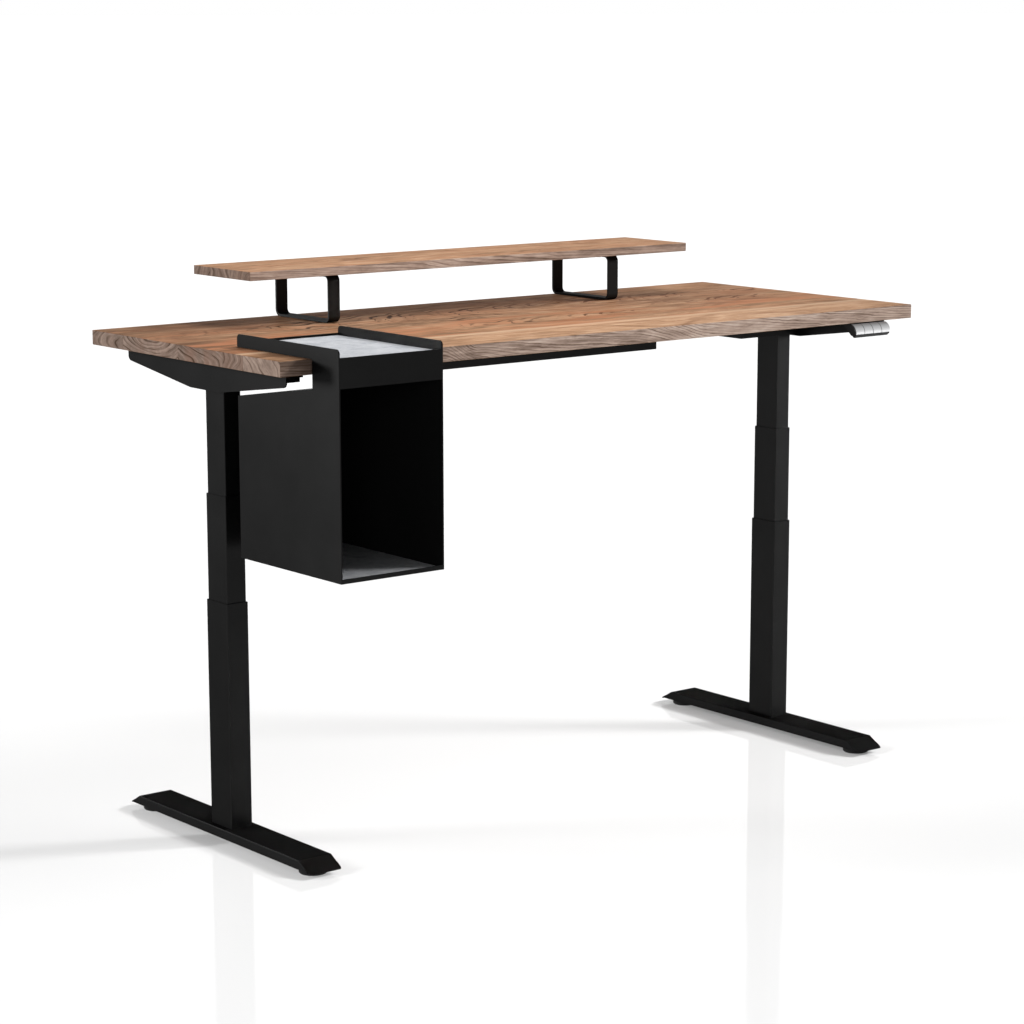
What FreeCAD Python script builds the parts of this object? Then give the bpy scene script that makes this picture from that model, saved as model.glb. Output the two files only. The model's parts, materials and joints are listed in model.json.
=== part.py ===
import FreeCAD, Part
import Sketcher
import math
import os

# Height-adjustable desk: two three-stage lifting columns on bevelled feet carry a wooden top with a raised
# shelf, a key handset under the front edge and a sheet-metal caddy that hangs on the front edge.
# Frame: +X to the right, +Y to the back, +Z up, floor at z = 0. Lengths in millimetres.

V = FreeCAD.Vector
doc = FreeCAD.newDocument("height_adjustable_desk")
sheet = doc.addObject("Spreadsheet::Sheet", "dims")

SIZES = [
    # top
    ("desk_width", 1800, "desktop, left to right"),
    ("desk_depth", 740, "desktop, front to back"),
    ("desk_thick", 32, "desktop thickness"),
    ("desk_under", 1059, "underside of the desktop above the floor"),
    ("desk_round", 1.2, "broken edge of the boards"),
    ("mid_y", 50.5, "middle of the desktop in the frame"),
    # columns
    ("col_x", 801.5, "column axis from the middle"),
    ("col_y", -2, "column axis from the middle of the desktop"),
    ("wall", 1.5, "tube wall"),
    ("tube_round", 2, "tube corner radius"),
    ("outer_x", 52.7, "outer tube"),
    ("outer_y", 82.2, "outer tube"),
    ("outer_top", 533, "top of the outer tube"),
    ("middle_x", 47.7, "middle tube"),
    ("middle_y", 76.2, "middle tube"),
    ("middle_low", 269, "lower end of the middle tube"),
    ("middle_top", 765, "top of the middle tube"),
    ("inner_x", 42.7, "inner tube"),
    ("inner_y", 71.2, "inner tube"),
    ("inner_low", 506, "lower end of the inner tube"),
    ("inner_top", 1012, "top of the inner tube"),
    ("glide_thick", 0.6, "glide strip"),
    ("glide_len", 62, "glide strip height"),
    # feet
    ("foot_width", 83, "foot channel"),
    ("foot_len", 713, "foot at its lower edge"),
    ("foot_top_len", 641, "flat top of the foot"),
    ("foot_low", 14, "lower edge of the foot"),
    ("foot_high", 34.5, "top of the foot"),
    ("foot_wall", 3, "sheet of the foot"),
    ("foot_end", 5.8, "bevelled end, measured along the foot"),
    ("foot_round", 1.2, "bend of the foot sheet"),
    ("flap_low", 11, "bevelled end flap, lower edge"),
    ("flap_round", 6, "bevelled end flap, rounded lower corners"),
    ("base_thick", 8, "base block in the outer tube"),
    ("bolt_x", 14, "foot bolt spacing, half"),
    ("bolt_y", 28, "foot bolt spacing, half"),
    ("bolt_r", 3, "foot bolt shank"),
    ("bolt_head_r", 5.5, "foot bolt head"),
    ("bolt_head", 5, "foot bolt head height"),
    ("bolt_play", 0.2, "bolt hole, radial play"),
    # levelling pads
    ("pad_r", 30.5, "levelling pad"),
    ("pad_thick", 12, "levelling pad"),
    ("pad_y", 313, "levelling pad from the column axis"),
    ("stud_r", 4, "levelling stud"),
    ("stud_top", 31, "levelling stud, upper end"),
    ("run_play", 0.05, "running fit, radial"),
    ("boss_r", 6.2, "weld nut"),
    ("boss_low", 24, "weld nut, lower face"),
    # drive
    ("low_screw_r", 10, "lower screw"),
    ("low_screw_bore", 7, "lower screw"),
    ("low_screw_top", 505, "lower screw"),
    ("journal_r", 6, "lower screw journal"),
    ("nut_thick", 12, "nut plates"),
    ("up_screw_r", 16, "upper screw"),
    ("up_screw_bore", 12, "upper screw"),
    ("up_screw_top", 730, "upper screw"),
    ("shaft_r", 6, "drive shaft"),
    ("shaft_low", 530, "drive shaft"),
    ("shaft_top", 1030, "drive shaft"),
    ("gear_x0", 768, "gearbox, inner end"),
    ("gear_x1", 835, "gearbox, outer end"),
    ("gear_half", 32, "gearbox, half width"),
    ("gear_top", 1052, "gearbox"),
    ("motor_r", 21, "motor"),
    ("motor_x0", 660, "motor, inner end"),
    ("motor_z", 1030.5, "motor axis"),
    # drive housing and brackets
    ("house_x0", 655, "drive housing, inner end"),
    ("house_x1", 841, "drive housing, outer end"),
    ("house_half", 40, "drive housing, half width"),
    ("house_low", 996.8, "drive housing, lower face"),
    ("house_top", 1056, "drive housing, upper edge"),
    ("house_wall", 2, "drive housing sheet"),
    ("brk_wall", 3, "bracket sheet"),
    ("brk_y", 3, "bracket, middle of its length"),
    ("brk_half", 309.5, "bracket, half length"),
    ("brk_flat", 56.5, "bracket, half length of the deep part"),
    ("brk_low", 991.5, "bracket, lower edge at the column"),
    ("brk_end_low", 1027.2, "bracket, lower edge at its ends"),
    ("brk_x0", 802, "bracket, inner edge of the top plate"),
    ("brk_step_x", 810, "bracket, step in the end lip"),
    ("brk_lip_low", 1036.8, "bracket, end lip"),
    ("brk_step_low", 1046, "bracket, step in the end lip"),
    ("brk_round", 12, "bracket, rounded end corner"),
    ("brk_screw_x", 821, "desktop screws in the bracket"),
    ("brk_screw_y1", 120, "desktop screws in the bracket"),
    ("brk_screw_y2", 250, "desktop screws in the bracket"),
    # crossbeam
    ("sleeve_half", 383, "crossbeam sleeve, half length"),
    ("sleeve_low", 992.2, "crossbeam sleeve, lower face"),
    ("rail_x0", 200, "rail, end inside the sleeve"),
    ("rail_low", 1012, "rail, lower face"),
    ("beam_bolt_x1", 300, "crossbeam bolts"),
    ("beam_bolt_x2", 355, "crossbeam bolts"),
    ("beam_bolt_z", 1033, "crossbeam bolts"),
    # wood screws
    ("screw_r", 2, "wood screw shank"),
    ("screw_head_r", 4.5, "wood screw head"),
    ("screw_head", 3, "wood screw head"),
    ("screw_len", 22, "wood screw under its head"),
    # control box
    ("ctrl_x0", -130, "control box"),
    ("ctrl_x1", 130, "control box"),
    ("ctrl_y0", 75, "control box"),
    ("ctrl_y1", 195, "control box"),
    ("ctrl_low", 1021, "control box, lower face"),
    ("ctrl_wall", 2.5, "control box"),
    ("ctrl_ear", 16, "control box, fixing ear"),
    # handset
    ("key_x0", 698.2, "first key, left end"),
    ("key_pitch", 28, "keys"),
    ("key_width", 27.5, "key"),
    ("key_tilt", 36.5, "key face from the vertical, degrees"),
    ("key_len", 28.4, "key face, top to bottom"),
    ("key_top_y", -372.5, "upper edge of the key face"),
    ("key_top_z", 1057, "upper edge of the key face"),
    ("key_back", 3.5, "key, depth behind its chord"),
    ("key_arc_r", 21.1, "key, curve of the face"),
    ("key_bulge", 5.5, "key, height of the curve"),
    ("key_gap", 1.6, "room behind a key"),
    ("hand_x0", 694, "handset housing, left end"),
    ("hand_x1", 809.5, "handset housing, right end"),
    # shelf
    ("shelf_x0", -641, "shelf board, left end"),
    ("shelf_x1", 629, "shelf board, right end"),
    ("shelf_y0", 132, "shelf board, front edge"),
    ("shelf_y1", 361, "shelf board, back edge"),
    ("shelf_low", 1199.5, "shelf board, underside"),
    ("shelf_thick", 20, "shelf board"),
    ("leg_x", 408.4, "shelf loop from the middle of the pair"),
    ("leg_dx", 2.4, "middle of the pair of loops"),
    ("leg_width", 30, "flat bar"),
    ("leg_bar", 5, "flat bar"),
    ("leg_y0", 150.2, "shelf loop, front"),
    ("leg_y1", 365.2, "shelf loop, back"),
    ("leg_round", 15.5, "shelf loop, outer bend"),
    ("leg_pad", 0.8, "pad under a loop"),
    ("leg_pad_r", 9, "pad under a loop"),
    # caddy
    ("cad_x0", -828, "caddy, left face"),
    ("cad_x1", -569.5, "caddy, right face"),
    ("cad_front", -471, "caddy, front"),
    ("cad_back", -102, "caddy, back"),
    ("cad_low", 644.2, "caddy, underside"),
    ("cad_lip", 653.8, "caddy, front lip of the box floor"),
    ("cad_top", 1118.5, "caddy, top of the flanges"),
    ("cad_sheet", 3, "caddy side panels"),
    ("cad_thin", 2.5, "caddy tray and shell"),
    ("cad_over", 1091.6, "lower edge of the flanges"),
    ("cad_neck", -377.5, "back edge of the neck"),
    ("cad_neck_z", 1030, "sloping top at the neck"),
    ("cad_back_z", 989.2, "sloping top at the back"),
    ("cad_round", 9, "caddy, rounded flange corners"),
    ("tray_low", 1093.1, "caddy tray, underside"),
    ("tray_lip", 1103.1, "caddy tray, rear lip"),
    ("apron_low", 1039.5, "caddy apron, lower edge"),
    ("apron_top", 1102, "caddy apron, upper edge"),
    ("felt_thick", 3.5, "mats"),
    ("bump_r", 8, "bumper under the tray"),
    ("bump_low", 1091.3, "bumper under the tray"),
]


class Dim:
    """A length that knows both its number and the sheet expression it comes from."""

    def __init__(self, value, text):
        self.value = value
        self.text = text

    def _two(self, other, sign, value):
        return Dim(value, "(%s %s %s)" % (self.text, sign, other.text))

    def __add__(self, other):
        other = dim(other)
        return self._two(other, "+", self.value + other.value)

    def __sub__(self, other):
        other = dim(other)
        return self._two(other, "-", self.value - other.value)

    def __mul__(self, other):
        other = dim(other)
        return self._two(other, "*", self.value * other.value)

    def __truediv__(self, other):
        other = dim(other)
        return self._two(other, "/", self.value / other.value)

    def __radd__(self, other):
        return dim(other) + self

    def __rsub__(self, other):
        return dim(other) - self

    def __rmul__(self, other):
        return dim(other) * self

    def __neg__(self):
        return Dim(-self.value, "(0 - %s)" % self.text)


def dim(x):
    if isinstance(x, Dim):
        return x
    return Dim(float(x), "(%.6f)" % float(x))


class Sizes:
    pass


d = Sizes()
for i, (alias, value, note) in enumerate(SIZES):
    row = i + 1
    sheet.set("A%d" % row, note)
    sheet.set("B%d" % row, str(value))
    sheet.setAlias("B%d" % row, alias)
    setattr(d, alias, Dim(float(value), "dims." + alias))
doc.recompute()

SIN = Dim(math.sin(math.radians(d.key_tilt.value)), "sin(dims.key_tilt)")
COS = Dim(math.cos(math.radians(d.key_tilt.value)), "cos(dims.key_tilt)")


def bind(obj, prop, size):
    obj.setExpression(prop, dim(size).text)


def place(obj, x, y, z):
    # y is measured from the middle of the desktop
    bind(obj, ".Placement.Base.x", x)
    bind(obj, ".Placement.Base.y", d.mid_y + y)
    bind(obj, ".Placement.Base.z", z)


def box(name, x0, x1, y0, y1, z0, z1):
    b = doc.addObject("Part::Box", name)
    b.Label = name
    bind(b, "Length", dim(x1) - x0)
    bind(b, "Width", dim(y1) - y0)
    bind(b, "Height", dim(z1) - z0)
    place(b, x0, y0, z0)
    return b


def cyl(name, x, y, z, radius, length, axis="z"):
    c = doc.addObject("Part::Cylinder", name)
    c.Label = name
    if axis == "x":
        c.Placement = FreeCAD.Placement(V(), FreeCAD.Rotation(V(0, 1, 0), 90))
    if axis == "y":
        c.Placement = FreeCAD.Placement(V(), FreeCAD.Rotation(V(1, 0, 0), -90))
    bind(c, "Radius", radius)
    bind(c, "Height", length)
    place(c, x, y, z)
    return c


def fuse(name, parts):
    f = doc.addObject("Part::MultiFuse", name)
    f.Label = name
    f.Shapes = parts
    return f


def group(name, parts):
    g = doc.addObject("Part::Compound", name)
    g.Label = name
    g.Links = parts
    return g


def cut(name, base, tools):
    c = doc.addObject("Part::Cut", name)
    c.Label = name
    c.Base = base
    c.Tool = tools[0] if len(tools) == 1 else group(name + "_holes", tools)
    return c


def common(name, a, b):
    c = doc.addObject("Part::Common", name)
    c.Label = name
    c.Base = a
    c.Tool = b
    return c


def body(name):
    b = doc.addObject("PartDesign::Body", name)
    b.Label = name
    return b


def sketch(b, plane, name):
    s = b.newObject("Sketcher::SketchObject", name)
    for feature in b.Origin.OriginFeatures:
        if feature.Role == plane:
            s.AttachmentSupport = [(feature, "")]
    s.MapMode = "FlatFace"
    return s


def outline(s, points):
    # closed outline whose corners are each held by two bound distances from the origin
    n = len(points)
    first = s.GeometryCount
    pts = [(dim(u), dim(v)) for u, v in points]
    for i in range(n):
        a, b = pts[i], pts[(i + 1) % n]
        s.addGeometry(Part.LineSegment(V(a[0].value, a[1].value, 0), V(b[0].value, b[1].value, 0)), False)
    for i in range(n):
        s.addConstraint(Sketcher.Constraint("Coincident", first + i, 2, first + (i + 1) % n, 1))
    for i in range(n):
        k = s.addConstraint(Sketcher.Constraint("DistanceX", -1, 1, first + i, 1, pts[i][0].value))
        s.setExpression("Constraints[%d]" % k, pts[i][0].text)
        k = s.addConstraint(Sketcher.Constraint("DistanceY", -1, 1, first + i, 1, pts[i][1].value))
        s.setExpression("Constraints[%d]" % k, pts[i][1].text)


def prism(name, plane, outlines, length):
    b = body(name)
    s = sketch(b, plane, name + "_outline")
    for points in outlines:
        outline(s, points)
    p = b.newObject("PartDesign::Pad", name + "_pad")
    p.Profile = s
    bind(p, "Length", length)
    return b, p


def turned(name, points):
    # a turned piece: half outline in x and z, revolved about z
    b = body(name)
    s = sketch(b, "XZ_Plane", name + "_outline")
    outline(s, points)
    r = b.newObject("PartDesign::Revolution", name + "_turn")
    r.Profile = s
    r.ReferenceAxis = (s, ["V_Axis"])
    r.Angle = 360
    return b


def fillet(b, feature, name, radius, pick):
    doc.recompute()
    edges = ["Edge%d" % (i + 1) for i, e in enumerate(feature.Shape.Edges) if pick(e)]
    f = b.newObject("PartDesign::Fillet", name)
    f.Base = (feature, edges)
    bind(f, "Radius", radius)
    b.Tip = f
    return f


def rect(x0, x1, y0, y1):
    return [(x0, y0), (x1, y0), (x1, y1), (x0, y1)]


def ends(e):
    return e.Vertexes[0].Point, e.Vertexes[-1].Point


def upright(e):
    a, b = ends(e)
    return abs(a.x - b.x) < 1e-6 and abs(a.y - b.y) < 1e-6


def span(side, near, far):
    # x range on one side of the middle, near and far counted outwards
    return (dim(near), dim(far)) if side > 0 else (-dim(far), -dim(near))


NODES = []


def node(obj):
    NODES.append(obj)
    return obj


SIDES = (("left", -1), ("right", 1))
desk_top = d.desk_under + d.desk_thick
desk_front = -(d.desk_depth / 2)


# ---------------------------------------------------------------- columns and feet
def tube(name, x, y, wide, deep, low, high):
    b, p = prism(name, "XY_Plane", [
        rect(-(wide / 2), wide / 2, -(deep / 2), deep / 2),
        rect(-(wide / 2) + d.wall, wide / 2 - d.wall, -(deep / 2) + d.wall, deep / 2 - d.wall),
    ], high - low)
    half = wide.value / 2
    f = fillet(b, p, name + "_corners", d.tube_round,
               lambda e: upright(e) and abs(abs(ends(e)[0].x) - half) < 1e-6)
    inside = half - d.wall.value
    fillet(b, f, name + "_inner_corners", d.tube_round - d.wall,
           lambda e: upright(e) and abs(abs(ends(e)[0].x) - inside) < 1e-6)
    place(b, x, y, low)
    return b


def nut_plate(name, x, y, wide, deep, low, hole):
    # plate with rounded corners that closes the lower end of a tube, bored for its screw
    b, p = prism(name + "_plate", "XY_Plane", [rect(-(wide / 2), wide / 2, -(deep / 2), deep / 2)], d.nut_thick)
    fillet(b, p, name + "_plate_corners", 3, upright)
    place(b, x, y, low)
    return cut(name, b, [cyl(name + "_bore", x, y, low - 1, hole, d.nut_thick + 2)])


foot_bolts, weld_nuts, base_blocks, outer_glides, middle_glides, middle_nuts, inner_nuts = [], [], [], [], [], [], []
run = (d.foot_len - d.foot_top_len) / 2
rise = d.foot_high - d.foot_low


def foot_half(z):
    return d.foot_len / 2 - (dim(z) - d.foot_low) * run / rise


for side_name, side in SIDES:
    cx = d.col_x * side
    cy = d.col_y

    # foot: channel open below, with bevelled ends
    blank, pad = prism(side_name + "_foot_blank", "YZ_Plane", [[
        (-(d.foot_len / 2), d.foot_low), (d.foot_len / 2, d.foot_low),
        (d.foot_top_len / 2, d.foot_high), (-(d.foot_top_len / 2), d.foot_high)]], d.foot_width)
    fillet(blank, pad, side_name + "_foot_bends", d.foot_round,
           lambda e: max(p.z for p in ends(e)) > d.foot_high.value - 0.01)
    place(blank, cx - d.foot_width / 2, cy, 0)
    # the bevelled ends run on below the side walls and have rounded lower corners
    flap_top = d.foot_low + d.flap_round + 2
    shape, pad = prism(side_name + "_flap_shape", "XZ_Plane", [rect(
        -(d.foot_width / 2), d.foot_width / 2, d.flap_low, d.foot_high)], d.foot_len + 60)
    fillet(shape, pad, side_name + "_flap_corners", d.flap_round, lambda e: all(
        abs(p.z - d.flap_low.value) < 0.01 for p in ends(e)) and abs(ends(e)[0].y - ends(e)[1].y) > 1)
    place(shape, cx, cy + d.foot_len / 2 + 30, 0)
    zones, flaps = [], []
    for place_name, j in (("front", -1), ("rear", 1)):
        near, far = foot_half(flap_top), foot_half(d.flap_low)
        zone, pad = prism("%s_%s_flap_zone" % (side_name, place_name), "YZ_Plane", [[
            (far * j, d.flap_low), (near * j, flap_top), ((near - d.foot_end) * j, flap_top),
            ((far - d.foot_end) * j, d.flap_low)]], d.foot_width)
        place(zone, cx - d.foot_width / 2, cy, 0)
        zones.append(zone)
        flaps.append(common("%s_%s_flap" % (side_name, place_name), zone, shape))
    blank = fuse(side_name + "_foot_sheet", [cut(side_name + "_foot_channel", blank, zones)] + flaps)
    blank.Refine = True
    inside_top = d.foot_high - d.foot_wall
    hollow, pad = prism(side_name + "_foot_hollow", "YZ_Plane", [[
        (-(foot_half(d.foot_low - 1)) + d.foot_end, d.foot_low - 1),
        (foot_half(d.foot_low - 1) - d.foot_end, d.foot_low - 1),
        (foot_half(inside_top) - d.foot_end, inside_top),
        (-(foot_half(inside_top)) + d.foot_end, inside_top)]], d.foot_width - d.foot_wall * 2)
    place(hollow, cx - d.foot_width / 2 + d.foot_wall, cy, 0)
    holes = [hollow]
    block_holes = []
    for i in (-1, 1):
        for j in (-1, 1):
            tag = "%s_%d%d" % (side_name, (i + 1) // 2, (j + 1) // 2)
            bx, by = cx + d.bolt_x * i, cy + d.bolt_y * j
            holes.append(cyl("foot_hole_" + tag, bx, by, inside_top - 1, d.bolt_r + d.bolt_play, d.foot_wall + 2))
            block_holes.append(cyl("block_hole_" + tag, bx, by, d.foot_high - 1, d.bolt_r + d.bolt_play,
                                   d.base_thick + 2))
            head = cyl("foot_bolt_head_" + tag, bx, by, inside_top - d.bolt_head, d.bolt_head_r, d.bolt_head)
            shank = cyl("foot_bolt_shank_" + tag, bx, by, inside_top - 1, d.bolt_r, d.foot_wall + d.base_thick + 0.5)
            foot_bolts.append(fuse("foot_bolt_" + tag, [head, shank]))
    node(cut(side_name + "_foot", blank, holes))

    # outer tube with its base block
    node(tube(side_name + "_outer_tube", cx, cy, d.outer_x, d.outer_y, d.foot_high, d.outer_top))
    wide = d.outer_x - d.wall * 2 - 0.2
    deep = d.outer_y - d.wall * 2 - 0.2
    block, pad = prism(side_name + "_block_blank", "XY_Plane",
                       [rect(-(wide / 2), wide / 2, -(deep / 2), deep / 2)], d.base_thick)
    fillet(block, pad, side_name + "_block_corners", 3, upright)
    place(block, cx, cy, d.foot_high)
    block_holes.append(cyl(side_name + "_journal_bore", cx, cy, d.foot_high - 1, d.journal_r + d.run_play,
                           d.base_thick + 2))
    base_blocks.append(cut(side_name + "_base_block", block, block_holes))

    # lower screw: turns in the base block, drives the middle tube
    b = turned(side_name + "_lower_screw", [
        (0, d.foot_high + 1.5), (d.journal_r, d.foot_high + 1.5), (d.journal_r, d.foot_high + d.base_thick + 0.5),
        (d.low_screw_r, d.foot_high + d.base_thick + 0.5), (d.low_screw_r, d.low_screw_top),
        (d.low_screw_bore, d.low_screw_top), (d.low_screw_bore, d.foot_high + d.base_thick + 18),
        (0, d.foot_high + d.base_thick + 18)])
    place(b, cx, cy, 0)
    node(b)

    # middle tube, nut at its lower end, upper screw standing on the nut
    node(tube(side_name + "_middle_tube", cx, cy, d.middle_x, d.middle_y, d.middle_low, d.middle_top))
    middle_nuts.append(nut_plate(side_name + "_middle_nut", cx, cy, d.middle_x - d.wall * 2 - 0.2,
                                 d.middle_y - d.wall * 2 - 0.2, d.middle_low, d.low_screw_r + d.run_play))
    b = turned(side_name + "_upper_screw", [
        (d.up_screw_bore, d.middle_low + d.nut_thick + 0.3), (d.up_screw_r, d.middle_low + d.nut_thick + 0.3),
        (d.up_screw_r, d.up_screw_top), (d.up_screw_bore, d.up_screw_top)])
    place(b, cx, cy, 0)
    node(b)

    # inner tube, nut at its lower end
    node(tube(side_name + "_inner_tube", cx, cy, d.inner_x, d.inner_y, d.inner_low, d.inner_top))
    inner_nuts.append(nut_plate(side_name + "_inner_nut", cx, cy, d.inner_x - d.wall * 2 - 0.2,
                                d.inner_y - d.wall * 2 - 0.2, d.inner_low, d.up_screw_r + d.run_play))

    # glide strips inside the upper ends of the outer and the middle tube
    for strips, tag, wide, deep, top, gy in (
            (outer_glides, "outer", d.outer_x, d.outer_y, d.outer_top, dim(1.0)),
            (middle_glides, "middle", d.middle_x, d.middle_y, d.middle_top, d.glide_thick)):
        for j in (-1, 1):
            face = cx + (wide / 2 - d.wall) * j
            x0, x1 = (face - d.glide_thick, face) if j > 0 else (face, face + d.glide_thick)
            strips.append(box("%s_%s_glide_x%d" % (side_name, tag, (j + 1) // 2), x0, x1,
                              cy - 25, cy + 25, top - d.glide_len - 3, top - 3))
            face = cy + (deep / 2 - d.wall) * j
            y0, y1 = (face - gy, face) if j > 0 else (face, face + gy)
            strips.append(box("%s_%s_glide_y%d" % (side_name, tag, (j + 1) // 2), cx - 14, cx + 14,
                              y0, y1, top - d.glide_len - 3, top - 3))

    # levelling pads and their weld nuts
    for place_name, j in (("front", -1), ("rear", 1)):
        py = cy + d.pad_y * j
        b = turned("%s_%s_leveller" % (place_name, side_name), [
            (0, 0), (d.pad_r - 2, 0), (d.pad_r, 2), (d.pad_r, d.pad_thick - 3), (d.pad_r - 3, d.pad_thick),
            (d.stud_r * 2, d.pad_thick), (d.stud_r * 2, d.pad_thick + 4), (d.stud_r, d.pad_thick + 4),
            (d.stud_r, d.stud_top), (0, d.stud_top)])
        place(b, cx, py, 0)
        node(b)
        tag = "%s_%s" % (place_name, side_name)
        weld_nuts.append(cut("weld_nut_" + tag,
                             cyl("weld_nut_blank_" + tag, cx, py, d.boss_low, d.boss_r, inside_top - d.boss_low),
                             [cyl("weld_nut_bore_" + tag, cx, py, d.boss_low - 1, d.stud_r + d.run_play,
                                  inside_top - d.boss_low + 2)]))

    # drive shaft, gearbox and motor at the column head
    node(cyl(side_name + "_drive_shaft", cx, cy, d.shaft_low, d.shaft_r, d.shaft_top - d.shaft_low))
    x0, x1 = span(side, d.gear_x0, d.gear_x1)
    block = box(side_name + "_gear_block", x0, x1, cy - d.gear_half, cy + d.gear_half, d.inner_top, d.gear_top)
    node(cut(side_name + "_gearbox", block,
             [cyl(side_name + "_gear_bore", cx, cy, d.inner_top - 1, d.shaft_r + d.run_play,
                  d.shaft_top - d.inner_top + 1.5)]))
    x0, x1 = span(side, d.motor_x0 + 6, d.gear_x0)
    can = cyl(side_name + "_motor_can", x0, cy, d.motor_z, d.motor_r, x1 - x0, "x")
    x0, x1 = span(side, d.motor_x0, d.motor_x0 + 6)
    cap = cyl(side_name + "_motor_cap", x0, cy, d.motor_z, d.motor_r - 6, x1 - x0, "x")
    node(fuse(side_name + "_motor", [can, cap]))

    # drive housing: sheet cover round the motor and gearbox, open above
    x0, x1 = span(side, d.house_x0, d.house_x1)
    shell = box(side_name + "_housing_blank", x0, x1, cy - d.house_half, cy + d.house_half, d.house_low, d.house_top)
    room = box(side_name + "_housing_room", x0 + d.house_wall, x1 - d.house_wall, cy - d.house_half + d.house_wall,
               cy + d.house_half - d.house_wall, d.house_low + d.house_wall, d.house_top + 1)
    hole = box(side_name + "_housing_hole", cx - d.inner_x / 2 - 0.3, cx + d.inner_x / 2 + 0.3,
               cy - d.inner_y / 2 - 0.3, cy + d.inner_y / 2 + 0.3, d.house_low - 1, d.house_low + d.house_wall + 1)
    node(cut(side_name + "_drive_housing", shell, [room, hole]))

    # side bracket: tapered wall, top plate and stepped lips at both ends
    wall, pad = prism(side_name + "_bracket_wall", "YZ_Plane", [[
        (-d.brk_half, d.desk_under), (-d.brk_half, d.brk_end_low), (-d.brk_flat, d.brk_low),
        (d.brk_flat, d.brk_low), (d.brk_half, d.brk_end_low), (d.brk_half, d.desk_under)]], d.brk_wall)
    f = fillet(wall, pad, side_name + "_bracket_ends", d.brk_round, lambda e: all(
        abs(p.z - d.brk_end_low.value) < 0.01 for p in ends(e)) and abs(ends(e)[0].x - ends(e)[1].x) > 1)
    fillet(wall, f, side_name + "_bracket_bends", d.brk_round * 4, lambda e: all(
        abs(p.z - d.brk_low.value) < 0.01 for p in ends(e)) and abs(ends(e)[0].x - ends(e)[1].x) > 1)
    x0, x1 = span(side, d.house_x1, d.house_x1 + d.brk_wall)
    place(wall, x0, d.brk_y, 0)
    x0, x1 = span(side, d.brk_x0, d.house_x1)
    plate = box(side_name + "_bracket_plate", x0, x1, d.brk_y - d.brk_half, d.brk_y + d.brk_half, d.house_top,
                d.desk_under)
    lips = []
    for place_name, j in (("front", -1), ("rear", 1)):
        lip, pad = prism("%s_bracket_%s_lip" % (side_name, place_name), "XZ_Plane", [[
            (d.house_x1 * side, d.house_top + 1), (d.house_x1 * side, d.brk_lip_low),
            (d.brk_step_x * side, d.brk_lip_low), (d.brk_step_x * side, d.brk_step_low),
            (d.brk_x0 * side, d.brk_step_low), (d.brk_x0 * side, d.house_top + 1)]], d.brk_wall)
        # the outline is drawn towards -y
        place(lip, 0, d.brk_y + d.brk_half * j + (d.brk_wall if j < 0 else 0), 0)
        lips.append(lip)
    holes = []
    for j, sy in enumerate((-d.brk_screw_y2, -d.brk_screw_y1, d.brk_screw_y1, d.brk_screw_y2)):
        holes.append(cyl("%s_bracket_hole%d" % (side_name, j), d.brk_screw_x * side, d.brk_y + sy, d.house_top - 1,
                         d.screw_r + 0.3, d.brk_wall + 2))
    node(cut(side_name + "_bracket", fuse(side_name + "_bracket_blank", [wall, plate] + lips), holes))

node(group("foot_bolts", foot_bolts))
node(group("foot_weld_nuts", weld_nuts))
node(group("column_base_blocks", base_blocks))
node(group("outer_glides", outer_glides))
node(group("middle_glides", middle_glides))
node(group("middle_nuts", middle_nuts))
node(group("inner_nuts", inner_nuts))


# ---------------------------------------------------------------- crossbeam
def square_tube(name, x0, x1, y0, y1, z0, z1, thick, holes):
    blank = box(name + "_blank", x0, x1, y0, y1, z0, z1)
    room = box(name + "_room", dim(x0) - 1, dim(x1) + 1, y0 + thick, y1 - thick, z0 + thick, z1 - thick)
    return cut(name, blank, [room] + holes)


beam_y0, beam_y1 = d.col_y - d.house_half, d.col_y + d.house_half
beam_bolts, sleeve_holes = [], []
rail_holes = {-1: [], 1: []}
for side_name, side in SIDES:
    for k, bx in enumerate((d.beam_bolt_x1, d.beam_bolt_x2)):
        tag = "%s_%d" % (side_name, k)
        sleeve_holes.append(cyl("sleeve_hole_" + tag, bx * side, beam_y1 - 3, d.beam_bolt_z, 2.7, 6, "y"))
        rail_holes[side].append(cyl("rail_hole_" + tag, bx * side, beam_y1 - 6, d.beam_bolt_z, 2.7, 6, "y"))
        beam_bolts.append(fuse("beam_bolt_" + tag, [
            cyl("beam_bolt_shank_" + tag, bx * side, beam_y1 - 7, d.beam_bolt_z, 2.5, 8, "y"),
            cyl("beam_bolt_head_" + tag, bx * side, beam_y1, d.beam_bolt_z, 5, 3, "y")]))
node(square_tube("crossbeam_sleeve", -d.sleeve_half, d.sleeve_half, beam_y0, beam_y1, d.sleeve_low, d.house_top,
                 d.house_wall, sleeve_holes))
for side_name, side in SIDES:
    x0, x1 = span(side, d.rail_x0, d.house_x0)
    node(square_tube(side_name + "_rail", x0, x1, beam_y0 + d.house_wall, beam_y1 - d.house_wall, d.rail_low,
                     d.house_top - d.house_wall, d.house_wall, rail_holes[side]))
node(group("crossbeam_bolts", beam_bolts))

# ---------------------------------------------------------------- desktop and its screws
screws, pilot = [], []


def wood_screw(tag, x, y, under):
    # head below the plate at height "under", shank up through the plate into the board
    head = cyl("screw_head_" + tag, x, y, dim(under) - d.screw_head, d.screw_head_r, d.screw_head)
    shank = cyl("screw_shank_" + tag, x, y, dim(under) - 1, d.screw_r, d.screw_len + 1)
    return fuse("screw_" + tag, [head, shank])


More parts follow.
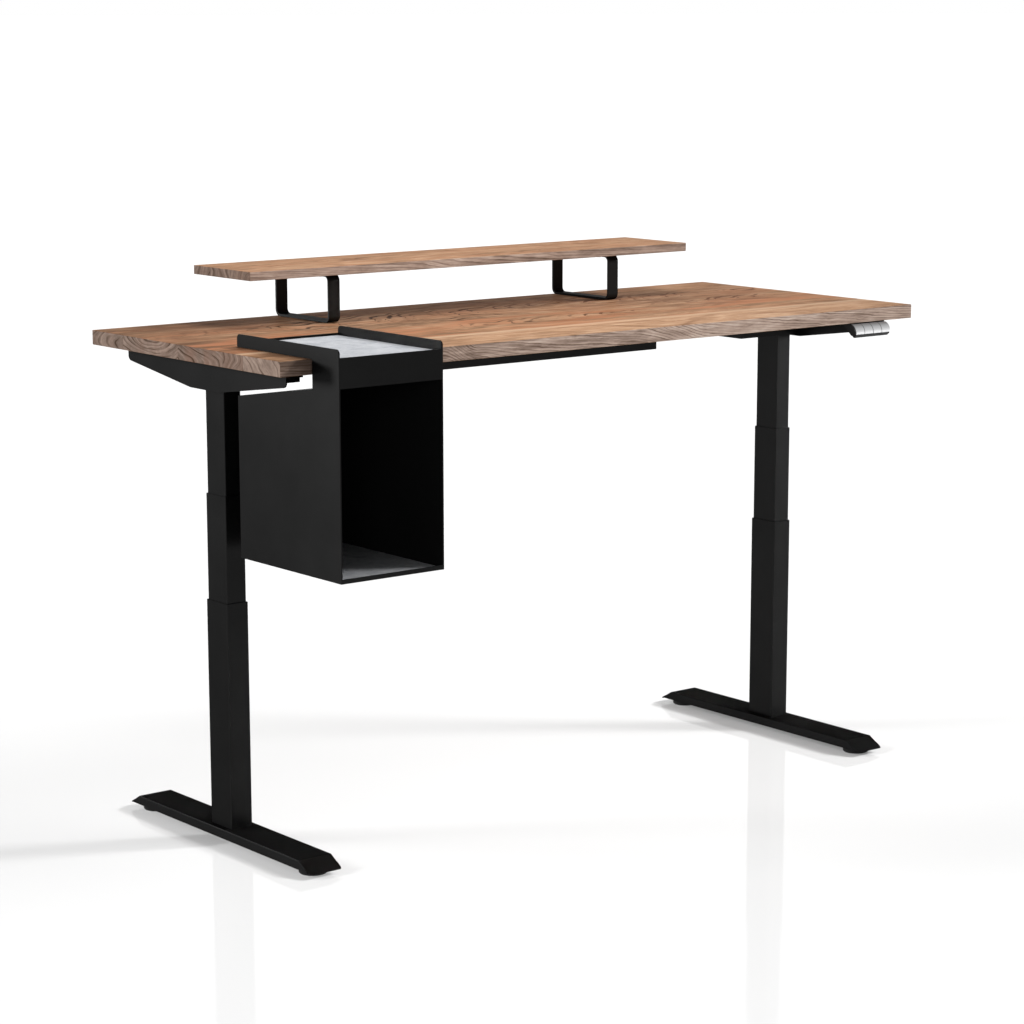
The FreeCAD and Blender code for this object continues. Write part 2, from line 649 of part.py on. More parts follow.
for side_name, side in SIDES:
    for j, sy in enumerate((-d.brk_screw_y2, -d.brk_screw_y1, d.brk_screw_y1, d.brk_screw_y2)):
        tag = "%s_%d" % (side_name, j)
        x, y = d.brk_screw_x * side, d.brk_y + sy
        screws.append(wood_screw(tag, x, y, d.house_top))
        pilot.append(cyl("pilot_" + tag, x, y, d.desk_under - 1, d.screw_r + d.run_play, d.screw_len))

# control box: moulded tray with two ears, circuit board inside, mains inlet in its right end
ctrl_holes, ears = [], []
ctrl_top = d.desk_under
for side_name, side in SIDES:
    x0, x1 = (d.ctrl_x0 - d.ctrl_ear, d.ctrl_x0 + 1) if side < 0 else (d.ctrl_x1 - 1, d.ctrl_x1 + d.ctrl_ear)
    ears.append(box(side_name + "_ctrl_ear", x0, x1, d.ctrl_y0 + 15, d.ctrl_y1 - 15, ctrl_top - 3, ctrl_top))
    for j, y in enumerate((d.ctrl_y0 + 25, d.ctrl_y1 - 25)):
        tag = "ctrl_%s_%d" % (side_name, j)
        x = (d.ctrl_x0 - d.ctrl_ear / 2) if side < 0 else (d.ctrl_x1 + d.ctrl_ear / 2)
        screws.append(wood_screw(tag, x, y, ctrl_top - 3))
        pilot.append(cyl("pilot_" + tag, x, y, d.desk_under - 1, d.screw_r + d.run_play, d.screw_len))
        ctrl_holes.append(cyl("ear_hole_" + tag, x, y, ctrl_top - 5, d.screw_r + 0.3, 7))
shell, pad = prism("ctrl_blank", "XY_Plane", [rect(d.ctrl_x0, d.ctrl_x1, d.ctrl_y0, d.ctrl_y1)], ctrl_top - d.ctrl_low)
fillet(shell, pad, "ctrl_corners", 6, upright)
place(shell, 0, 0, d.ctrl_low)
room = box("ctrl_room", d.ctrl_x0 + d.ctrl_wall, d.ctrl_x1 - d.ctrl_wall, d.ctrl_y0 + d.ctrl_wall,
           d.ctrl_y1 - d.ctrl_wall, d.ctrl_low + d.ctrl_wall, ctrl_top + 1)
inlet_y = d.ctrl_y0 + 40
socket_hole = box("ctrl_inlet_hole", d.ctrl_x1 - d.ctrl_wall - 1, d.ctrl_x1 + 1, inlet_y - 13.6, inlet_y + 13.6,
                  d.ctrl_low + 8, d.ctrl_low + 28.2)
node(cut("control_box", fuse("ctrl_with_ears", [shell] + ears), [room, socket_hole] + ctrl_holes))
board = box("ctrl_pcb", d.ctrl_x0 + 8, d.ctrl_x1 - 40, d.ctrl_y0 + 8, d.ctrl_y1 - 8, d.ctrl_low + d.ctrl_wall,
            d.ctrl_low + d.ctrl_wall + 1.6)
bits = [board]
for k, (x, y, w, l, tall) in enumerate(((20, 20, 40, 34, 24), (70, 18, 24, 24, 22), (70, 60, 46, 30, 14),
                                        (130, 30, 30, 52, 18), (175, 24, 16, 16, 22), (175, 60, 16, 16, 22))):
    bits.append(box("ctrl_bit%d" % k, d.ctrl_x0 + x, d.ctrl_x0 + x + w, d.ctrl_y0 + y, d.ctrl_y0 + y + l,
                    d.ctrl_low + d.ctrl_wall + 1, d.ctrl_low + d.ctrl_wall + 1.6 + tall))
node(fuse("control_board", bits))
# inlet: moulded block with a recess and three blades
shell = box("inlet_block", d.ctrl_x1 - 20, d.ctrl_x1 + 1.5, inlet_y - 13.5, inlet_y + 13.5, d.ctrl_low + 8.1,
            d.ctrl_low + 28.1)
room = box("inlet_room", d.ctrl_x1 - 15, d.ctrl_x1 + 3, inlet_y - 11.5, inlet_y + 11.5, d.ctrl_low + 10.1,
           d.ctrl_low + 26.1)
blades = [box("inlet_blade%d" % k, d.ctrl_x1 - 16, d.ctrl_x1 - 2, inlet_y + by - 1, inlet_y + by + 1,
              d.ctrl_low + bz, d.ctrl_low + bz + 4.5) for k, (by, bz) in enumerate(((-7, 13), (7, 13), (0, 19)))]
node(fuse("power_inlet", [cut("inlet_shell", shell, [room])] + blades))


# ---------------------------------------------------------------- handset
def key_point(down, out):
    # a point of the key face: distance down the chord, and distance out of it
    return (d.key_top_y - dim(down) * SIN - dim(out) * COS, d.key_top_z - dim(down) * COS + dim(out) * SIN)


def key_solid(name, x0, x1, down0, down1, back, radius):
    b, p = prism(name + "_blank", "YZ_Plane", [[
        key_point(down0, back), key_point(down1, back), key_point(down1, 6), key_point(down0, 6)]], dim(x1) - x0)
    place(b, x0, 0, 0)
    cy, cz = key_point(d.key_len / 2, d.key_bulge - d.key_arc_r)
    return common(name, b, cyl(name + "_curve", dim(x0) - 1, cy, cz, radius, dim(x1) - x0 + 2, "x"))


for k, name in enumerate(("key_up", "key_down", "key_memory_one", "key_memory_two")):
    x0 = d.key_x0 + d.key_pitch * k
    last = k == 3
    key = key_solid(name + ("_square" if last else ""), x0, x0 + d.key_width, 0, d.key_len, -d.key_back, d.key_arc_r)
    if last:
        # the free end of the row of keys has a rounded lower corner
        doc.recompute()
        right = (x0 + d.key_width).value
        low = key_point(d.key_len, 0)
        picked = []
        for i, e in enumerate(key.Shape.Edges):
            a, b = ends(e)
            if min(a.x, b.x) > right - 0.01 and all(
                    abs((v.y - d.mid_y.value - low[0].value) * SIN.value + (v.z - low[1].value) * COS.value) < 0.01
                    for v in (a, b)):
                picked.append((i + 1, 3.0, 3.0))
        rounded = doc.addObject("Part::Fillet", name)
        rounded.Label = name
        rounded.Base = key
        rounded.Edges = picked
        key = rounded
    node(key)

seat = -(d.key_back + d.key_gap)
top_seat, low_seat = key_point(0, seat), key_point(d.key_len, seat)
slab, pad = prism("handset_slab", "YZ_Plane", [[
    key_point(-0.6, seat), low_seat, (low_seat[0] + 9, low_seat[1]), (-352, d.desk_under - 6), (-352, d.desk_under),
    (desk_front, d.desk_under)]], d.hand_x1 - d.hand_x0)
place(slab, d.hand_x0, 0, 0)
cheek = key_solid("handset_cheek", d.hand_x0, d.key_x0 - 0.5, -0.5, d.key_len, seat - 1, d.key_arc_r - 0.4)
lip_x0 = d.hand_x0 + 2.5
ledge, pad = prism("handset_ledge", "YZ_Plane", [[
    key_point(d.key_len + 0.6, seat - 1), key_point(d.key_len + 2.6, seat - 1),
    key_point(d.key_len + 2.6, -0.5), key_point(d.key_len + 0.6, 0.3)]], d.hand_x1 - 3 - lip_x0)
place(ledge, lip_x0, 0, 0)
foot_of_cheek, pad = prism("handset_cheek_foot", "YZ_Plane", [[
    key_point(d.key_len - 1, seat - 1), key_point(d.key_len + 0.7, seat - 1),
    key_point(d.key_len + 0.7, -0.2), key_point(d.key_len - 1, -0.2)]], d.key_x0 - 0.5 - lip_x0)
place(foot_of_cheek, lip_x0, 0, 0)
under, pad = prism("handset_under", "YZ_Plane", [[
    low_seat, key_point(d.key_len + 2.6, seat), key_point(d.key_len + 2.6, seat - 5), (low_seat[0] + 9, low_seat[1])]],
    d.hand_x1 - 3 - lip_x0)
place(under, lip_x0, 0, 0)
flange = box("handset_flange", 715, 790, -353, -300, d.desk_under - 3, d.desk_under)
hand_holes = []
for k, x in enumerate((730, 775)):
    screws.append(wood_screw("handset_%d" % k, x, -316, d.desk_under - 3))
    pilot.append(cyl("pilot_handset_%d" % k, x, -316, d.desk_under - 1, d.screw_r + d.run_play, d.screw_len))
    hand_holes.append(cyl("flange_hole_%d" % k, x, -316, d.desk_under - 5, d.screw_r + 0.3, 7))
node(cut("handset_housing", fuse("handset_blank", [slab, cheek, foot_of_cheek, ledge, under, flange]), hand_holes))

node(group("desktop_screws", screws))
board, pad = prism("desktop_board", "XY_Plane", [rect(-(d.desk_width / 2), d.desk_width / 2, desk_front,
                                                      d.desk_depth / 2)], d.desk_thick)
fillet(board, pad, "desktop_edges", d.desk_round, lambda e: True)
place(board, 0, 0, d.desk_under)
node(cut("desktop", board, pilot))

# ---------------------------------------------------------------- shelf
board, pad = prism("shelf_blank", "XY_Plane", [rect(d.shelf_x0, d.shelf_x1, d.shelf_y0, d.shelf_y1)],
                   d.shelf_thick)
fillet(board, pad, "shelf_edges", d.desk_round, lambda e: True)
place(board, 0, 0, d.shelf_low)
shelf_screws, shelf_pilot, leg_pads = [], [], []
leg_low = desk_top + d.leg_pad
leg_mid = (d.leg_y0 + d.leg_y1) / 2
for side_name, side in SIDES:
    mx = d.leg_dx + d.leg_x * side
    loop, pad = prism(side_name + "_loop", "YZ_Plane", [
        rect(d.leg_y0, d.leg_y1, leg_low, d.shelf_low),
        rect(d.leg_y0 + d.leg_bar, d.leg_y1 - d.leg_bar, leg_low + d.leg_bar, d.shelf_low - d.leg_bar)], d.leg_width)
    outer = {d.leg_y0.value, d.leg_y1.value}
    f = fillet(loop, pad, side_name + "_loop_bends", d.leg_round, lambda e: (
        abs(ends(e)[0].x - ends(e)[1].x) > 1 and min(abs(ends(e)[0].y - v) for v in outer) < 0.01))
    fillet(loop, f, side_name + "_loop_inner_bends", d.leg_round - d.leg_bar, lambda e: (
        abs(ends(e)[0].x - ends(e)[1].x) > 1 and
        min(abs(abs(ends(e)[0].y - v) - d.leg_bar.value) for v in outer) < 0.01))
    place(loop, mx - d.leg_width / 2, 0, 0)
    holes = []
    for j in (-1, 1):
        tag = "shelf_%s_%d" % (side_name, (j + 1) // 2)
        y = leg_mid + 55 * j
        shelf_screws.append(fuse("screw_" + tag, [
            cyl("screw_head_" + tag, mx, y, d.shelf_low - d.leg_bar - d.screw_head, d.screw_head_r, d.screw_head),
            cyl("screw_shank_" + tag, mx, y, d.shelf_low - d.leg_bar - 1, d.screw_r, d.leg_bar + 14)]))
        shelf_pilot.append(cyl("pilot_" + tag, mx, y, d.shelf_low - 1, d.screw_r + d.run_play, 14.5))
        holes.append(cyl("loop_hole_" + tag, mx, y, d.shelf_low - d.leg_bar - 1, d.screw_r + 0.3, d.leg_bar + 2))
        leg_pads.append(cyl("leg_pad_%s_%d" % (side_name, (j + 1) // 2), mx, leg_mid + 65 * j, desk_top, d.leg_pad_r,
                            d.leg_pad))
    node(cut(side_name + "_shelf_loop", loop, holes))
node(cut("shelf_board", board, shelf_pilot))
node(group("shelf_screws", shelf_screws))
node(group("shelf_pads", leg_pads))


# ---------------------------------------------------------------- caddy
def caddy_panel(name, x0):
    # one cut sheet: flange over the desktop, neck in front of it, side of the box below
    b, p = prism(name, "YZ_Plane", [[
        (d.cad_back, d.cad_over), (d.cad_back, d.cad_top), (d.cad_front, d.cad_top), (d.cad_front, d.cad_low),
        (d.cad_back, d.cad_low), (d.cad_back, d.cad_back_z), (d.cad_neck, d.cad_neck_z), (d.cad_neck, d.cad_over)]],
        d.cad_sheet)
    fillet(b, p, name + "_corners", d.cad_round, lambda e: (
        abs(ends(e)[0].x - ends(e)[1].x) > 1 and abs(ends(e)[0].z - d.cad_top.value) < 0.01))
    place(b, x0, 0, 0)
    return b


node(caddy_panel("caddy_left_panel", d.cad_x0))
node(caddy_panel("caddy_right_panel", d.cad_x1 - d.cad_sheet))
in0, in1 = d.cad_x0 + d.cad_sheet, d.cad_x1 - d.cad_sheet
tray_top = d.tray_low + d.cad_thin

# tray with its rear lip and front apron
b, p = prism("caddy_tray", "YZ_Plane", [[
    (d.cad_front, d.apron_low), (d.cad_front + d.cad_thin, d.apron_low), (d.cad_front + d.cad_thin, d.tray_low),
    (d.cad_back, d.tray_low), (d.cad_back, d.tray_lip), (d.cad_back - d.cad_thin, d.tray_lip),
    (d.cad_back - d.cad_thin, tray_top), (d.cad_front + 1.2, tray_top), (d.cad_front + 1.2, d.apron_top),
    (d.cad_front, d.apron_top)]], in1 - in0)
place(b, in0, 0, 0)
node(b)

# shell of the box: front lip, floor, back, sloping top and back of the neck, one folded sheet
slope = (d.cad_neck_z - d.cad_back_z) / (d.cad_back - d.cad_neck)
thin = d.cad_thin
b, p = prism("caddy_shell", "YZ_Plane", [[
    (d.cad_front, d.cad_low), (d.cad_back, d.cad_low), (d.cad_back, d.cad_back_z), (d.cad_neck, d.cad_neck_z),
    (d.cad_neck, d.tray_low), (d.cad_neck - thin, d.tray_low), (d.cad_neck - thin, d.cad_neck_z - thin),
    (d.cad_back - thin, d.cad_back_z + slope * thin - thin), (d.cad_back - thin, d.cad_low + thin),
    (d.cad_front + thin, d.cad_low + thin), (d.cad_front + thin, d.cad_lip), (d.cad_front, d.cad_lip)]], in1 - in0)
place(b, in0, 0, 0)
node(b)
node(box("caddy_tray_mat", in0 + 0.4, in1 - 0.4, d.cad_front + 1.4, d.cad_back - thin - 0.4, tray_top,
         tray_top + d.felt_thick))
node(box("caddy_floor_mat", in0 + 0.6, in1 - 0.6, d.cad_front + thin + 0.4, d.cad_back - thin - 0.6, d.cad_low + thin,
         d.cad_low + thin + d.felt_thick))
bumpers = []
for i, x in enumerate((in0 + 30, in1 - 30)):
    for j, y in enumerate((d.cad_neck + 40, d.cad_back - 30)):
        bumpers.append(cyl("bumper_%d%d" % (i, j), x, y, d.bump_low, d.bump_r, d.tray_low - d.bump_low))
node(group("caddy_bumpers", bumpers))

# ---------------------------------------------------------------- test and write
doc.recompute()
bad = [o.Name + " " + ",".join(o.State) for o in doc.Objects if "Invalid" in o.State or "Error" in o.State]
for o in NODES:
    if o.Shape.isNull() or not o.Shape.isValid() or not o.Shape.Solids:
        bad.append(o.Label + " has no valid solid")
names = [o.Label for o in NODES]
if len(set(names)) != len(names) or len(names) > 60:
    bad.append("node names: %d, %d different" % (len(names), len(set(names))))
if bad:
    raise SystemExit("not written: " + "; ".join(bad))
os.makedirs("parts", exist_ok=True)
for o in NODES:
    o.Shape.exportStep(os.path.join("parts", o.Label + ".step"))
    bb = o.Shape.BoundBox
    print("%-24s solids %2d  x %8.1f %8.1f  y %8.1f %8.1f  z %8.1f %8.1f  vol %.0f" % (
        o.Label, len(o.Shape.Solids), bb.XMin, bb.XMax, bb.YMin, bb.YMax, bb.ZMin, bb.ZMax, o.Shape.Volume))
print(len(NODES), "nodes")
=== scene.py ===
import bpy
import json
import math
from mathutils import Matrix, Vector, noise


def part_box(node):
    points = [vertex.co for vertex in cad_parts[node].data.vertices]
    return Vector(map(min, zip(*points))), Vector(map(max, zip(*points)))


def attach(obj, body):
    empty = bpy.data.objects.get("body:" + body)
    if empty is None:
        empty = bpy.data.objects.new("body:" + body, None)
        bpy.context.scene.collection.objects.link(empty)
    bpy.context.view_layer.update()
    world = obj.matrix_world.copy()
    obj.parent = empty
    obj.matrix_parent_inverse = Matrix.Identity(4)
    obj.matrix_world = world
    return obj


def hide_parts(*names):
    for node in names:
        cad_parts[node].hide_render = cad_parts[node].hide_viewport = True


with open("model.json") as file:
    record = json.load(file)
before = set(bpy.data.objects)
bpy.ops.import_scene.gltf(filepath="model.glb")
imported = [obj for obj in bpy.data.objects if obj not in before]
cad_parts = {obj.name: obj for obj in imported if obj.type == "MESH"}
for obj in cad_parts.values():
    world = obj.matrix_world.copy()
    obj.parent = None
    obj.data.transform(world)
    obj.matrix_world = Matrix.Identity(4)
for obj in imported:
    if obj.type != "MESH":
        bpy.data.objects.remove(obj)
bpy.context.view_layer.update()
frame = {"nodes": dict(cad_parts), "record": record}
nodes = frame["nodes"]


# ---------------------------------------------------------------- node helpers
class Tree:
    """A material's node tree with short ways to add nodes."""

    def __init__(self, name):
        self.mat = bpy.data.materials.new(name)
        self.mat.use_nodes = True
        self.nt = self.mat.node_tree
        self.bsdf = next(n for n in self.nt.nodes if n.type == "BSDF_PRINCIPLED")

    def link(self, value, socket):
        if isinstance(value, bpy.types.NodeSocket):
            self.nt.links.new(value, socket)
        else:
            socket.default_value = value

    def node(self, kind, **props):
        n = self.nt.nodes.new(kind)
        for k, v in props.items():
            setattr(n, k, v)
        return n

    def math(self, op, a, b=None, c=None):
        n = self.node("ShaderNodeMath", operation=op)
        for i, v in enumerate((a, b, c)):
            if v is not None:
                self.link(v, n.inputs[i])
        return n.outputs[0]

    def xyz(self):
        c = self.node("ShaderNodeTexCoord")
        s = self.node("ShaderNodeSeparateXYZ")
        self.nt.links.new(c.outputs["Object"], s.inputs[0])
        return s.outputs[0], s.outputs[1], s.outputs[2]

    def join(self, x, y, z):
        n = self.node("ShaderNodeCombineXYZ")
        for i, v in enumerate((x, y, z)):
            self.link(v, n.inputs[i])
        return n.outputs[0]

    def noise(self, vector, scale=1.0, detail=3.0, rough=0.5, warp=0.0):
        n = self.node("ShaderNodeTexNoise")
        self.nt.links.new(vector, n.inputs["Vector"])
        n.inputs["Scale"].default_value = scale
        n.inputs["Detail"].default_value = detail
        n.inputs["Roughness"].default_value = rough
        n.inputs["Distortion"].default_value = warp
        return n.outputs["Fac"]

    def ramp(self, fac, stops, mode="LINEAR"):
        n = self.node("ShaderNodeValToRGB")
        n.color_ramp.interpolation = mode
        e = n.color_ramp.elements
        while len(e) < len(stops):
            e.new(0.5)
        for el, (p, c) in zip(e, stops):
            el.position = p
            el.color = (*c, 1.0) if len(c) == 3 else c
        self.link(fac, n.inputs[0])
        return n.outputs[0]

    def span(self, v, a, b, c, d, smooth=False):
        n = self.node("ShaderNodeMapRange")
        n.interpolation_type = "SMOOTHSTEP" if smooth else "LINEAR"
        self.link(v, n.inputs["Value"])
        for k, x in (("From Min", a), ("From Max", b), ("To Min", c), ("To Max", d)):
            self.link(x, n.inputs[k])
        return n.outputs[0]

    def mix(self, fac, a, b, blend="MIX"):
        n = self.node("ShaderNodeMix", data_type="RGBA", blend_type=blend)
        self.link(fac, n.inputs[0])
        self.link(a, n.inputs[6])
        self.link(b, n.inputs[7])
        return n.outputs[2]

    def bump(self, height, strength, distance):
        n = self.node("ShaderNodeBump")
        n.inputs["Strength"].default_value = strength
        n.inputs["Distance"].default_value = distance
        self.nt.links.new(height, n.inputs["Height"])
        self.nt.links.new(n.outputs[0], self.bsdf.inputs["Normal"])

    def set(self, **values):
        names = {"color": "Base Color", "metal": "Metallic", "rough": "Roughness", "spec": "Specular IOR Level",
                 "tint": "Specular Tint", "sheen": "Sheen Weight", "coat": "Coat Weight"}
        for k, v in values.items():
            s = self.bsdf.inputs[names[k]]
            if isinstance(v, tuple) and len(v) == 3:
                v = (*v, 1.0)
            self.link(v, s)
        return self


# ---------------------------------------------------------------- materials
def steps(t, y, seams, values):
    # a value that changes at each glue line
    out = None
    for k, at in enumerate(seams):
        jump = t.math("MULTIPLY", t.math("GREATER_THAN", y, at), values[k + 1] - values[k])
        out = t.math("ADD", values[0], jump) if out is None else t.math("ADD", out, jump)
    return out


def wood(name, seed, z_top, seams, piths, depths, hearts, cores, tones, reds, scale, figure, bold, drift, shade, lift, ends, edge=0.85,
         pale=(), bends=()):
    """Oiled boards glued side by side along x.

    piths and depths place each board's growth rings, hearts and cores those seen on its ends, tones and reds its colour; figure lists places with a strong
    dark figure as (x, y, half length, half width, strength); bends lists places on the long edges where the rings cross the board as (x from, x to, rise);
    shade darkens the left end, lift lightens the edges and ends the two ends; edge is how
    dark the rings are there."""
    t = Tree(name)
    x, y, z = t.xyz()
    pith = steps(t, y, seams, piths)
    deep = steps(t, y, seams, depths)
    tone_of = steps(t, y, seams, tones)
    red_of = steps(t, y, seams, reds)
    index = steps(t, y, seams, [float(k) for k in range(len(tones))])
    along = t.math("ADD", x, t.math("MULTIPLY", index, 3.7))
    # faces seen: broad face, long edge or end
    geo = t.node("ShaderNodeNewGeometry")
    sn = t.node("ShaderNodeSeparateXYZ")
    t.nt.links.new(geo.outputs["True Normal"], sn.inputs[0])
    on_face = t.math("GREATER_THAN", t.math("ABSOLUTE", sn.outputs[2]), 0.6)
    on_end = t.math("GREATER_THAN", t.math("ABSOLUTE", sn.outputs[0]), 0.6)
    on_long = t.math("SUBTRACT", 1.0, t.math("MAXIMUM", on_face, on_end))
    on_edge = t.math("SUBTRACT", 1.0, on_face)

    # rings on the broad face: the pith runs below it and wanders, which draws long pointed arches
    slow = t.noise(t.join(t.math("MULTIPLY", along, 1.7), t.math("MULTIPLY", index, 5.3), seed), 1.0, 2.0, 0.45)
    slow2 = t.noise(t.join(t.math("MULTIPLY", along, 1.5), t.math("MULTIPLY", index, 2.9), seed + 9.0), 1.0, 2.0, 0.45)
    wave = t.noise(t.join(t.math("MULTIPLY", along, 3.2), t.math("MULTIPLY", y, 13.0), seed + 2.0), 1.0, 3.0, 0.55)
    yy = t.math("ADD", t.math("SUBTRACT", y, pith), t.span(slow, 0.25, 0.75, -0.06, 0.06))
    zz = t.math("ADD", deep, t.math("ADD", t.span(slow2, 0.25, 0.75, -0.075, 0.075), t.math("SUBTRACT", z, z_top)))
    r = t.math("SQRT", t.math("ADD", t.math("MULTIPLY", yy, yy), t.math("MULTIPLY", zz, zz)))
    r = t.math("ADD", r, t.span(wave, 0.2, 0.8, -0.014, 0.014))
    torn = t.noise(t.join(t.math("MULTIPLY", along, 9.0), t.math("MULTIPLY", y, 30.0), seed + 7.0), 1.0, 2.0, 0.5)
    uneven = t.noise(t.join(t.math("MULTIPLY", x, 8.0), seed + 11.0, 0.0), 1.0, 1.0, 0.5)
    strong = None
    for fx, fy, lx, ly, power in figure:
        dx = t.math("DIVIDE", t.math("SUBTRACT", x, fx), lx)
        dy = t.math("DIVIDE", t.math("SUBTRACT", y, fy), ly)
        dd = t.math("ADD", t.math("MULTIPLY", dx, dx), t.math("MULTIPLY", dy, dy))
        hill = t.math("DIVIDE", power, t.math("ADD", 1.0, t.math("MULTIPLY", dd, dd)))
        v = t.math("MULTIPLY", t.math("MULTIPLY", dy, dy), -2.0)
        arch = t.math("ADD", t.math("DIVIDE", t.math("SUBTRACT", x, fx), 0.06), t.math("ADD", v, t.span(wave, 0.2, 0.8, -0.9, 0.9)))
        arch = t.math("ADD", arch, t.span(uneven, 0.25, 0.75, -1.3, 1.3))
        pick = t.noise(t.join(t.math("MULTIPLY", t.math("FLOOR", arch), 3.17), fx * 10.0, seed), 1.0, 0.0)
        hill = t.math("MULTIPLY", hill, t.span(pick, 0.35, 0.55, 0.2, 1.2))
        thick = t.math("ADD", t.math("MULTIPLY", t.math("ABSOLUTE", dy), 0.032 / ly), 0.05)
        off = t.math("ABSOLUTE", t.math("SUBTRACT", t.math("FRACT", arch), 0.5))
        arch = t.span(off, t.math("MULTIPLY", thick, 0.26), t.math("MULTIPLY", thick, 0.68), 1.0, 0.0)
        arch = t.math("MULTIPLY", arch, t.math("MULTIPLY", hill, t.span(torn, 0.32, 0.54, 0.35, 1.0)))
        strong = arch if strong is None else t.math("MAXIMUM", strong, arch)
    face_phase = t.math("DIVIDE", r, scale)

    # rings on the long edges: thin lines that run out slowly, bent in places
    bend = t.noise(t.join(t.math("MULTIPLY", x, 2.3), t.math("MULTIPLY", z, 14.0), seed + 3.0), 1.0, 2.0, 0.5)
    ripple = t.noise(t.join(t.math("MULTIPLY", x, 14.0), t.math("MULTIPLY", z, 60.0), seed + 6.0), 1.0, 3.0, 0.55)
    w = t.math("ADD", z, t.math("MULTIPLY", x, drift))
    for x0, x1, rise in bends:
        w = t.math("ADD", w, t.span(x, x0, x1, 0.0, rise, True))
    w = t.math("ADD", w, t.math("ADD", t.span(bend, 0.2, 0.8, -0.011, 0.011), t.span(ripple, 0.2, 0.8, -0.0022, 0.0022)))
    long_phase = t.math("DIVIDE", w, 0.0062)

    # rings on the ends: flattened loops round each board's heart
    curl = t.noise(t.join(t.math("MULTIPLY", y, 8.0), t.math("MULTIPLY", z, 18.0), seed + 5.0), 1.0, 1.5, 0.45)
    ey = t.math("MULTIPLY", t.math("SUBTRACT", y, steps(t, y, seams, hearts)), 0.27)
    ez = t.math("SUBTRACT", z, t.math("SUBTRACT", z_top, steps(t, y, seams, cores)))
    re = t.math("SQRT", t.math("ADD", t.math("MULTIPLY", ey, ey), t.math("MULTIPLY", ez, ez)))
    re = t.math("ADD", re, t.span(curl, 0.25, 0.75, -0.007, 0.007))
    end_phase = t.math("DIVIDE", re, 0.0072)

    phase = t.math("ADD", t.math("MULTIPLY", on_face, face_phase),
                   t.math("ADD", t.math("MULTIPLY", on_long, long_phase), t.math("MULTIPLY", on_end, end_phase)))
    ring = t.math("FRACT", phase)
    line = t.ramp(ring, [(0.0, (0.0, 0.0, 0.0)), (0.50, (0.0, 0.0, 0.0)), (0.70, (0.32, 0.32, 0.32)), (0.77, (1, 1, 1)),
                         (0.93, (1, 1, 1)), (0.98, (0.0, 0.0, 0.0))])
    # finer lines beside the rings, broken along their length
    run = t.math("ADD", t.math("MULTIPLY", along, 2.6), t.math("MULTIPLY", on_end, t.math("MULTIPLY", y, 9.0)))
    fine = t.noise(t.join(t.math("MULTIPLY", phase, 2.6), run, seed), 1.0, 4.0, 0.65)
    broken = t.noise(t.join(t.math("MULTIPLY", phase, 0.9), t.math("MULTIPLY", run, 1.4), seed + 1.0), 1.0, 2.0, 0.5)
    patch = t.noise(t.join(t.math("MULTIPLY", along, 1.3), t.math("MULTIPLY", y, 9.0), t.math("MULTIPLY", z, 9.0)),
                    1.0, 2.0, 0.5)
    fibre = t.noise(t.join(t.math("MULTIPLY", along, 12.0), t.math("MULTIPLY", y, 480.0), t.math("MULTIPLY", z, 480.0)),
                    1.0, 3.0, 0.6)
    streak = t.noise(t.join(t.math("MULTIPLY", along, 3.0), t.math("MULTIPLY", y, 95.0), t.math("MULTIPLY", z, 140.0)),
                     1.0, 3.0, 0.6)
    tone = t.math("ADD", tone_of, t.math("ADD", t.span(fine, 0.25, 0.75, -0.24, 0.24), t.span(patch, 0.2, 0.8, -0.12, 0.12)))
    dash = t.noise(t.join(t.math("MULTIPLY", along, 16.0), t.math("MULTIPLY", y, 62.0), t.math("MULTIPLY", z, 62.0)),
                   1.0, 3.0, 0.65, 0.4)
    calm = t.math("SUBTRACT", 1.0, t.math("MULTIPLY", on_end, 0.7))
    flecks = t.math("ADD", t.span(streak, 0.25, 0.75, -0.2, 0.2), t.span(dash, 0.25, 0.75, -0.22, 0.22))
    tone = t.math("ADD", tone, t.math("MULTIPLY", flecks, calm))
    tone = t.math("ADD", tone, t.span(x, -0.95, -0.25, shade, 0.0, True))
    tone = t.math("ADD", tone, t.math("MULTIPLY", on_long, t.span(x, -0.4, 0.3, shade * 0.35, 0.0, True)))
    base = t.ramp(tone, [(0.05, (0.118, 0.060, 0.033)), (0.30, (0.215, 0.119, 0.066)), (0.52, (0.322, 0.186, 0.107)),
                         (0.74, (0.405, 0.248, 0.150)), (0.97, (0.50, 0.335, 0.22))])
    redness = t.span(t.noise(t.join(t.math("MULTIPLY", along, 3.4), t.math("MULTIPLY", y, 26.0), seed + 4.0), 1.0, 3.0),
                     0.38, 0.66, 0.0, 1.0, True)
    base = t.mix(t.math("MULTIPLY", redness, red_of), base, (0.37, 0.155, 0.078, 1.0))
